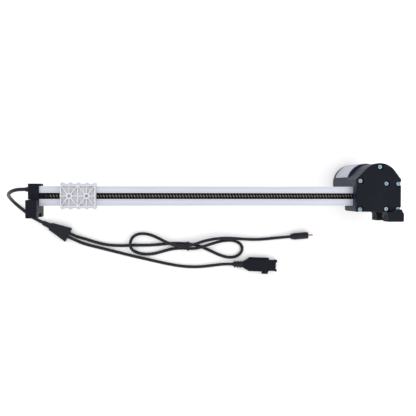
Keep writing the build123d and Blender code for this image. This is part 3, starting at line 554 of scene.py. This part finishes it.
@dataclass(frozen=True)
class CableJacket:
    """Extruded soft jacket with a satin skin and faint dusty scuffs."""

    base: Colour
    scuff: Colour
    roughness: float = 0.46
    shine: float = 0.22
    patch_scale: float = 48.0
    skin_scale: float = 1800.0
    depth: float = 0.00004

    def build(self, name: str) -> bpy.types.Material:
        """Make the material.

        Args:
            name: Name of the material.

        Returns:
            The material.
        """
        shader = Shader(name)
        patches = shader.noise(self.patch_scale, 5.0)
        fine = shader.noise(self.skin_scale, 3.0)
        scuffed = patches.ramp(0.5, 0.8) * 0.6
        shader.feed("Base Color", Tint(shader, self.base).mix(self.scuff, scuffed))
        gloss = self.roughness + (patches - 0.5) * 0.25 + (fine - 0.5) * 0.1
        shader.feed("Roughness", gloss.clamp())
        shader.uniform(Specular_IOR_Level=self.shine)
        shader.bump(fine, self.depth, 0.5)
        return shader.material


@dataclass(frozen=True)
class Foil:
    """Brushed foil label, left blank."""

    base: Colour
    shade: Colour
    roughness: float = 0.42
    metal: float = 0.45
    brush_scale: float = 700.0
    mottle_scale: float = 900.0
    depth: float = 0.00003

    def build(self, name: str) -> bpy.types.Material:
        """Make the material.

        Args:
            name: Name of the material.

        Returns:
            The material.
        """
        shader = Shader(name)
        brush = shader.noise(self.brush_scale, 3.0, (1.0, 1.0, 0.08))
        mottle = shader.noise(self.mottle_scale, 2.0)
        flecks = (mottle * 0.6 + brush * 0.4).ramp(0.4, 0.62)
        shader.feed("Base Color", Tint(shader, self.base).mix(self.shade, flecks))
        shader.feed("Roughness", (self.roughness + (brush - 0.5) * 0.3).clamp())
        shader.uniform(Metallic=self.metal)
        shader.bump(brush, self.depth, 0.4)
        return shader.material


@dataclass(frozen=True)
class FloorPaper:
    """Seamless white studio paper."""

    base: Colour = (0.985, 0.985, 0.985)
    shade: Colour = (0.97, 0.97, 0.97)

    def build(self, name: str) -> bpy.types.Material:
        """Make the material.

        Args:
            name: Name of the material.

        Returns:
            The material.
        """
        shader = Shader(name)
        cloud = shader.noise(4.0, 2.0)
        shader.feed("Base Color", Tint(shader, self.base).mix(self.shade, cloud))
        shader.uniform(Roughness=0.9, Specular_IOR_Level=0.1)
        return shader.material


THREAD_CREST = 6.0 * MM
THREAD_ROOT = 4.6 * MM
POCKET_ABOVE_RAIL = 4.35 * MM
POCKET_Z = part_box("rail")[1][2] + POCKET_ABOVE_RAIL
FINISHES = {
    "anodised_aluminium": Extruded((0.55, 0.57, 0.635), (0.47, 0.485, 0.55), 0.46, 0.4),
    "black_nylon": MouldedPlastic(
        (0.0032, 0.0045, 0.0092), (0.0065, 0.0085, 0.016), roughness=0.5, shine=0.13
    ),
    "charcoal_nylon": MouldedPlastic(
        (0.010, 0.0135, 0.033), (0.018, 0.0235, 0.05), 0.46, grain=1100.0, depth=0.0001, shine=0.22
    ),
    # natural nylon: the fourth colour is painted light, a lighter tint on the pocket floors at
    # POCKET_Z
    "natural_nylon": FilledNylon(
        (0.57, 0.585, 0.655), (0.49, 0.5, 0.55), (0.7, 0.71, 0.76), (0.8, 0.79, 0.79), POCKET_Z
    ),
    # white acetal: the fourth colour is a darker grime tint on faces level with the floor
    "white_acetal": FilledNylon(
        (0.82, 0.82, 0.8), (0.74, 0.74, 0.71), (0.9, 0.9, 0.88), (0.7, 0.68, 0.62), 0.0
    ),
    "zinc_steel": Metal((0.25, 0.33, 0.4), (0.1, 0.155, 0.21), 0.34, amount=0.85),
    "bearing_steel": Metal((0.7, 0.7, 0.71), (0.5, 0.5, 0.52), 0.16),
    "ground_steel": Metal((0.62, 0.63, 0.65), (0.45, 0.45, 0.47), 0.25),
    "motor_steel": Metal((0.32, 0.33, 0.35), (0.2, 0.2, 0.22), 0.42),
    "bronze": Metal((0.2, 0.13, 0.07), (0.12, 0.08, 0.045), 0.45),
    "copper": Metal((0.46, 0.3, 0.22), (0.3, 0.19, 0.13), 0.34),
    # dark steel: the crest colour is wear plus a painted highlight, the root colour is grease plus
    # painted shade
    "dark_steel": GreasedSteel(
        (0.29, 0.265, 0.245), (0.008, 0.007, 0.006), THREAD_CREST, THREAD_ROOT
    ),
    "black_pvc": CableJacket((0.007, 0.008, 0.013), (0.016, 0.018, 0.026)),
    "red_insulation": CableJacket((0.45, 0.02, 0.02), (0.3, 0.02, 0.02)),
    "seal_rubber": CableJacket((0.02, 0.02, 0.02), (0.04, 0.04, 0.04), 0.75),
    "ferrite": MouldedPlastic((0.05, 0.05, 0.05), (0.08, 0.08, 0.08), 0.7),
    "carbon": MouldedPlastic((0.03, 0.03, 0.03), (0.06, 0.06, 0.06), 0.6),
    "label_foil": Foil((0.47, 0.48, 0.545), (0.33, 0.34, 0.39)),
}


class Wardrobe:
    """Builds each finish once and dresses nodes in them."""

    def __init__(self) -> None:
        """Build every finish."""
        self.materials = {name: made.build(f"fin_{name}") for name, made in FINISHES.items()}
        subparts = frame["record"]["subparts"]
        self.slots = {part["node"]: part["material_slot"] for part in subparts}

    def dress(self, *names: str) -> None:
        """Give CAD nodes their finish.

        Args:
            names: Node names.
        """
        for name in names:
            obj = bpy.data.objects[name]
            material = self.materials[self.slots[name]]
            if not obj.data.materials:
                obj.data.materials.append(material)
            for index in range(len(obj.data.materials)):
                obj.data.materials[index] = material


# ---------------------------------------------------------------- mesh helpers


def make_piece(
    name: str, mesh: bpy.types.Mesh, body: Body, material: bpy.types.Material
) -> bpy.types.Object:
    """Put a mesh in the scene as a piece.

    Args:
        name: Piece name.
        mesh: Its mesh.
        body: Body it rides on.
        material: The finish.

    Returns:
        The object.
    """
    obj = bpy.data.objects.new(name, mesh)
    bpy.context.scene.collection.objects.link(obj)
    mesh.materials.append(material)
    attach(obj, body.value)
    return obj


def smooth(mesh: bpy.types.Mesh, angle: float = 35.0) -> None:
    """Shade smooth except across sharp edges.

    Args:
        mesh: The mesh.
        angle: Edges sharper than this stay sharp, in degrees.
    """
    mesh.polygons.foreach_set("use_smooth", [True] * len(mesh.polygons))
    mesh.set_sharp_from_angle(angle=math.radians(angle))


# ---------------------------------------------------------------- cords


def placed(point: Point) -> Point:
    """Return a route point in the frame.

    Args:
        point: Distance from the gearbox wall, from the screw axis and above the floor,
            in millimetres.

    Returns:
        The point in metres.
    """
    x, y, z = point
    return (RAIL_END_X + x * MM, SCREW_Y + y * MM, z * MM)


@dataclass
class Cord:
    """A free cord on its route: diameter and route in millimetres, length in metres."""

    name: str
    node: str
    diameter: float
    length: float
    route: Sequence[Point]
    far_end: str
    fittings: Sequence[str]

    def build(self, material: bpy.types.Material) -> bpy.types.Object:
        """Args:
            material: Its jacket.

        Returns:
            The curve object.
        """
        curve = bpy.data.curves.new(self.name, "CURVE")
        curve.dimensions = "3D"
        spline = curve.splines.new("NURBS")
        spline.points.add(len(self.route) - 1)
        for point, stop in zip(spline.points, self.route):
            point.co = (*placed(stop), 1.0)
        spline.order_u = 3
        spline.use_endpoint_u = True
        spline.resolution_u = 12
        curve.bevel_depth = self.diameter / 2 * MM
        curve.bevel_resolution = 6
        curve.use_fill_caps = True
        curve.materials.append(material)
        obj = bpy.data.objects.new(self.name, curve)
        bpy.context.scene.collection.objects.link(obj)
        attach(obj, Body.FRAME.value)
        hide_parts(self.node)
        placed(self.route[0])
        self.diameter * MM
        return obj


# Heights of a cord's centre line above the floor, in millimetres.
MAIN_LAY = 3.6
LAY = 3.3
RISING = 5.5
OVER = 13.9
IN_TIE = 4.5
SPLIT_MID = 6.0
PLUG_MID = 7.5
CONNECTOR_MID = 8.0
# Ends of the cords, level with the floor, in millimetres.
SPLIT_FACE = (-585.6, -85.6)
SPLIT_TURN = math.radians(-26.5)
SPLIT_REACH = 60.0
BRANCH_OFFSET = 3.9
BRANCH_RUN = 15.0
PLUG = (-95.8, -92.2)
PLUG_TURN = math.radians(4.2)
CONNECTOR = (-227.4, -152.6)
CONNECTOR_TURN = math.radians(-2.5)
LEAD_IN = 14.0
END_RUN = 18.0


def beyond(point: tuple[float, float], turn: float, distance: float) -> tuple[float, float]:
    """Return the point at a distance along a level direction.

    Args:
        point: Start.
        turn: Direction in radians.
        distance: Distance in millimetres.

    Returns:
        The point.
    """
    return (point[0] + math.cos(turn) * distance, point[1] + math.sin(turn) * distance)


@dataclass
class Leads:
    """The lead, its splitter and both branches with what is on their ends."""

    wardrobe: Wardrobe

    def build(self) -> None:
        """Make the three cords and dress their fittings."""
        neck = beyond(SPLIT_FACE, SPLIT_TURN, -SPLIT_REACH)
        left = beyond(SPLIT_FACE, SPLIT_TURN + math.pi / 2, BRANCH_OFFSET)
        right = beyond(SPLIT_FACE, SPLIT_TURN - math.pi / 2, BRANCH_OFFSET)
        main = [
            (-654.6, 12.6, 124.0), (-666.5, 12.6, 124.0), (-678.0, 10.6, 117.0),
            (-688.0, 6.8, 103.0), (-695.0, 2.6, 84.0), (-698.6, -1.8, 62.0),
            (-699.4, -7.0, 40.5), (-697.0, -14.0, 22.5), (-690.5, -22.5, 10.0),
            (-679.5, -32.5, MAIN_LAY + 0.4), (-666.5, -43.5, MAIN_LAY + 0.1),
            (*beyond(neck, SPLIT_TURN, -LEAD_IN), SPLIT_MID), (*neck, SPLIT_MID),
        ]
        branch_a = [
            (*left, SPLIT_MID), (*beyond(left, SPLIT_TURN, BRANCH_RUN), SPLIT_MID),
            (-551.0, -94.3, LAY + 0.7), (-530.0, -101.4, LAY), (-504.0, -108.2, LAY),
            (-474.0, -110.0, LAY), (-444.0, -108.9, LAY), (-414.0, -109.6, LAY),
            (-386.0, -107.6, LAY), (-358.4, -105.0, LAY), (-330.0, -106.4, IN_TIE),
            (-305.2, -110.7, LAY), (-282.8, -120.3, LAY), (-260.4, -131.2, LAY),
            (-239.5, -138.2, LAY), (-220.5, -137.2, LAY), (-207.4, -127.6, LAY),
            (-205.6, -113.6, LAY), (-215.2, -103.6, LAY), (-231.2, -99.3, LAY),
            (-252.9, -100.8, RISING), (-277.3, -106.8, OVER), (-297.3, -112.9, OVER + 0.8),
            (-314.1, -117.6, LAY + 6.4), (-336.3, -116.2, IN_TIE), (-359.5, -117.0, LAY),
            (-381.5, -122.6, LAY), (-402.4, -128.4, LAY), (-423.0, -129.6, LAY),
            (-441.7, -124.8, LAY), (-453.0, -115.7, OVER), (-454.6, -101.6, OVER),
            (-448.4, -89.4, LAY + 1.6), (-434.0, -83.3, LAY), (-414.4, -84.7, LAY),
            (-394.7, -92.6, RISING), (-376.9, -101.6, OVER), (-357.8, -109.6, OVER),
            (-337.0, -111.8, OVER), (-316.1, -108.0, OVER), (-294.0, -100.2, OVER),
            (-270.7, -95.4, OVER), (-243.9, -93.6, OVER), (-216.8, -95.4, OVER - 1.0),
            (-188.4, -98.4, LAY + 1.2), (-160.0, -98.2, LAY), (-133.0, -95.4, LAY + 0.8),
            (*beyond(PLUG, PLUG_TURN, -END_RUN), PLUG_MID), (*PLUG, PLUG_MID),
        ]
        branch_b = [
            (*right, SPLIT_MID), (*beyond(right, SPLIT_TURN, BRANCH_RUN), SPLIT_MID),
            (-554.0, -105.0, LAY + 0.7), (-527.0, -112.2, LAY), (-493.7, -120.8, LAY),
            (-456.0, -130.9, LAY), (-418.0, -140.0, LAY), (-378.0, -149.8, LAY),
            (-338.4, -157.4, LAY), (-301.6, -158.6, LAY), (-270.0, -155.0, LAY + 1.0),
            (*beyond(CONNECTOR, CONNECTOR_TURN, -END_RUN), CONNECTOR_MID),
            (*CONNECTOR, CONNECTOR_MID),
        ]
        jacket = self.wardrobe.materials["black_pvc"]
        joint = ("splitter_neck", "splitter")
        plugs = ("plug_body", "plug_pin", "tie")
        ends = ("connector_relief", "connector_body", "connector_latch", "connector_pins")
        cords = (
            Cord("lead_main", "main_lead", 7.2, 0.208, main, "fitting", ("lead_gland", *joint)),
            Cord("lead_branch_a", "branch_a", 6.6, 1.058, branch_a, "plug", plugs),
            Cord("lead_branch_b", "branch_b", 6.6, 0.37, branch_b, "connector", ends),
        )
        for cord in cords:
            cord.build(jacket)
        self.wardrobe.dress("lead_gland", *joint, *plugs, *ends)


# ---------------------------------------------------------------- lead screw


@dataclass
class LeadScrew:
    """Two-start rolled screw with plain journals, in the place of the plain CAD shaft."""

    wardrobe: Wardrobe
    crest: float = THREAD_CREST
    root: float = THREAD_ROOT
    journal: float = 5.0 * MM
    lead: float = 12.0 * MM
    starts: int = 2
    around: int = 32
    across: int = 10
    collar_gap: float = 0.4 * MM
    past_wall: float = 20.0 * MM
    bevel: float = 0.8 * MM
    shoulder: float = 0.5 * MM
    overlap: float = 0.05 * MM

    def profile(self, step: int) -> float:
        """Return the radius at a step across one thread: a flat crest and sloping flanks.

        Args:
            step: Step number.

        Returns:
            Radius in metres.
        """
        share = (step % self.across) / self.across
        rise = min(max((abs(share - 0.5) - 0.08) / 0.26, 0.0), 1.0)
        return self.crest - (self.crest - self.root) * rise

    def point(
        self, work: bmesh.types.BMesh, index: int, x: float, radius: float
    ) -> bmesh.types.BMVert:
        """Add one point of the surface.

        Args:
            work: Mesh being built.
            index: Step round the axis.
            x: Distance along X in metres.
            radius: Distance from the axis in metres.

        Returns:
            The point.
        """
        turn = 2 * math.pi * index / self.around
        y = SCREW_Y + radius * math.cos(turn)
        z = SCREW_Z + radius * math.sin(turn)
        return work.verts.new((x, y, z))

    def shaft(self, work: bmesh.types.BMesh, stations: Sequence[tuple[float, float]]) -> None:
        """Add a turned stretch.

        Args:
            work: Mesh being built.
            stations: Distance along X and radius, in metres.
        """
        rings = [
            [self.point(work, index, x, radius) for index in range(self.around)]
            for x, radius in stations
        ]
        for one, two in zip(rings, rings[1:]):
            for index in range(self.around):
                after = (index + 1) % self.around
                work.faces.new((one[index], two[index], two[after], one[after]))
        work.faces.new(rings[0])
        work.faces.new(tuple(reversed(rings[-1])))

    def thread(self, work: bmesh.types.BMesh, start: float, end: float) -> None:
        """Add the threaded stretch, which fades out at both ends.

        Args:
            work: Mesh being built.
            start: Where it starts along X.
            end: Where it ends.
        """
        pitch = self.lead / self.starts
        step = pitch / self.across
        wrap = self.across * self.starts
        count = int((end - start) / step) + wrap
        grid = []
        for row in range(count):
            ring = []
            for index in range(self.around):
                x = start + row * step + self.lead * (index / self.around - 1.0)
                held = min(max(x, start), end)
                near = min((held - start) / (2 * pitch), 1.0)
                far = min((end - held) / (2 * pitch), 1.0)
                height = (self.profile(row) - self.root) * min(1.0, near * far * 4)
                ring.append(self.point(work, index, held, self.root + height))
            grid.append(ring)
        for row in range(count - 1):
            for index in range(self.around):
                one = (grid[row][index], grid[row + 1][index])
                if index + 1 < self.around:
                    two = (grid[row + 1][index + 1], grid[row][index + 1])
                elif row + wrap + 1 < count:
                    two = (grid[row + wrap + 1][0], grid[row + wrap][0])
                else:
                    continue
                reach = [vert.co.x for vert in (*one, *two)]
                if max(reach) - min(reach) > SAME_SPOT:
                    work.faces.new((*one, *two))

    def build(self) -> None:
        """Make the screw and dress what turns with it."""
        low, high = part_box("lead_screw")
        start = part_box("stop_collar")[1][0] + self.collar_gap
        end = RAIL_END_X + self.past_wall
        tip = self.journal - self.bevel
        inside = self.root - self.overlap
        work = bmesh.new()
        self.thread(work, start, end)
        self.shaft(work, [
            (low[0], tip), (low[0] + self.bevel, self.journal),
            (start + 0.01 * MM, self.journal), (start + self.shoulder, inside),
        ])
        self.shaft(work, [
            (end - self.shoulder, inside), (end, self.journal),
            (high[0] - self.bevel, self.journal), (high[0], tip),
        ])
        bmesh.ops.remove_doubles(work, verts=work.verts, dist=SAME_SPOT)
        bmesh.ops.recalc_face_normals(work, faces=work.faces)
        mesh = bpy.data.meshes.new("screw_thread")
        work.to_mesh(mesh)
        work.free()
        smooth(mesh, 40.0)
        steel = self.wardrobe.materials[Slot.DARK_STEEL.value]
        piece = make_piece("screw_thread", mesh, Body.SCREW, steel)
        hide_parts("lead_screw")
        self.wardrobe.dress(*SCREW_NODES)


# ---------------------------------------------------------------- dressed assemblies


@dataclass
class Dressed:
    """A sub-assembly whose CAD shapes are kept and given their finishes."""

    wardrobe: Wardrobe
    nodes: Sequence[str]

    def build(self) -> None:
        """Dress every node."""
        self.wardrobe.dress(*self.nodes)


SCREW_NODES = (
    "stop_collar", "screw_locknut", "wheel_key", "worm_wheel",
    "bearing_inner_rings", "bearing_balls",
)
RAIL_NODES = ("rail", "rail_wire_red", "rail_wire_black", "limit_switches")
TAIL_NODES = ("tail_cap", "tail_bush", "tail_bracket", "tail_screws")
GEARBOX_NODES = (
    "gearbox_housing", "cover_gasket", "gearbox_cover", "bearing_keepers", "bearing_outer_rings",
    "nose_clevis", "clevis_bushes", *(f"cover_screw_{index}" for index in range(1, 8)),
)
MOTOR_NODES = (
    "motor_hood", "hood_screws", "motor_can", "motor_front_plate", "shaft_bushes",
    "motor_magnets", "brushes", "brush_card", "rating_label",
)
ROTOR_NODES = ("rotor_shaft", "rotor_core", "windings", "commutator", "worm")
CARRIAGE_NODES = ("slider_block", "drive_nut", "glide_strips")


# ---------------------------------------------------------------- studio


@dataclass(frozen=True)
class SoftBox:
    """A square area light."""

    name: str
    place: Point
    aim: Point
    size: float
    power: float

    def build(self) -> None:
        """Add the light."""
        data = bpy.data.lights.new(self.name, "AREA")
        data.energy = self.power
        data.size = self.size
        obj = bpy.data.objects.new(self.name, data)
        obj.location = self.place
        toward = Vector(self.aim) - Vector(self.place)
        obj.rotation_euler = toward.to_track_quat("-Z", "Y").to_euler()
        bpy.context.scene.collection.objects.link(obj)


@dataclass(frozen=True)
class Studio:
    """Floor, light and camera."""

    eye: Point = (-0.1571, 0.00318, 1.324)
    tilt_deg: Point = (-1.718, -6.463, 0.118)
    view_deg: float = 38.24
    near_clip: float = 0.05
    ambient: float = 0.92
    floor_radius: float = 9.0
    floor_drop: float = 0.6 * MM

    def camera(self) -> None:
        """Add the camera."""
        data = bpy.data.cameras.new("studio_camera")
        data.angle = math.radians(self.view_deg)
        data.clip_start = self.near_clip
        obj = bpy.data.objects.new("studio_camera", data)
        obj.location = self.eye
        obj.rotation_euler = Euler([math.radians(v) for v in self.tilt_deg], "XYZ")
        bpy.context.scene.collection.objects.link(obj)
        bpy.context.scene.camera = obj

    def floor(self) -> None:
        """Add the floor."""
        work = bmesh.new()
        bmesh.ops.create_circle(work, cap_ends=True, radius=self.floor_radius, segments=96)
        mesh = bpy.data.meshes.new("studio_floor")
        work.to_mesh(mesh)
        work.free()
        mesh.materials.append(FloorPaper().build("fin_floor"))
        obj = bpy.data.objects.new("studio_floor", mesh)
        obj.location = (0, 0, -self.floor_drop)
        bpy.context.scene.collection.objects.link(obj)

    def light(self) -> None:
        """Add soft boxes and an even surround."""
        SoftBox("key_light", (-0.9, 1.2, 1.9), (-0.05, 0.0, 0.1), 2.2, 18.0).build()
        SoftBox("fill_light", (1.3, -0.6, 1.8), (0.1, 0.0, 0.1), 2.2, 13.0).build()
        SoftBox("rim_light", (0.1, -1.7, 1.3), (0.0, 0.0, 0.1), 2.0, 8.0).build()
        world = bpy.data.worlds.new("studio_world")
        world.use_nodes = True
        back = world.node_tree.nodes["Background"]
        back.inputs["Color"].default_value = (1.0, 1.0, 1.0, 1.0)
        back.inputs["Strength"].default_value = self.ambient
        bpy.context.scene.world = world

    def build(self) -> None:
        """Set up the studio."""
        self.camera()
        self.floor()
        self.light()


def main() -> None:
    """Build the studio and each sub-assembly in order."""
    logging.basicConfig(level=logging.INFO, format="%(message)s")
    bpy.context.scene.view_settings.view_transform = "Standard"
    wardrobe = Wardrobe()
    jobs: list[tuple[str, Callable[[], None]]] = [
        ("studio", Studio().build),
        ("leads", Leads(wardrobe).build),
        ("rail", Dressed(wardrobe, RAIL_NODES).build),
        ("lead screw", LeadScrew(wardrobe).build),
        ("tail", Dressed(wardrobe, TAIL_NODES).build),
        ("carriage", Dressed(wardrobe, CARRIAGE_NODES).build),
        ("gearbox", Dressed(wardrobe, GEARBOX_NODES).build),
        ("motor", Dressed(wardrobe, MOTOR_NODES).build),
        ("rotor", Dressed(wardrobe, ROTOR_NODES).build),
    ]
    for name, job in jobs:
        job()
        log.info("built %s", name)
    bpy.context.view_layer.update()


if __name__ == "__main__":
    main()
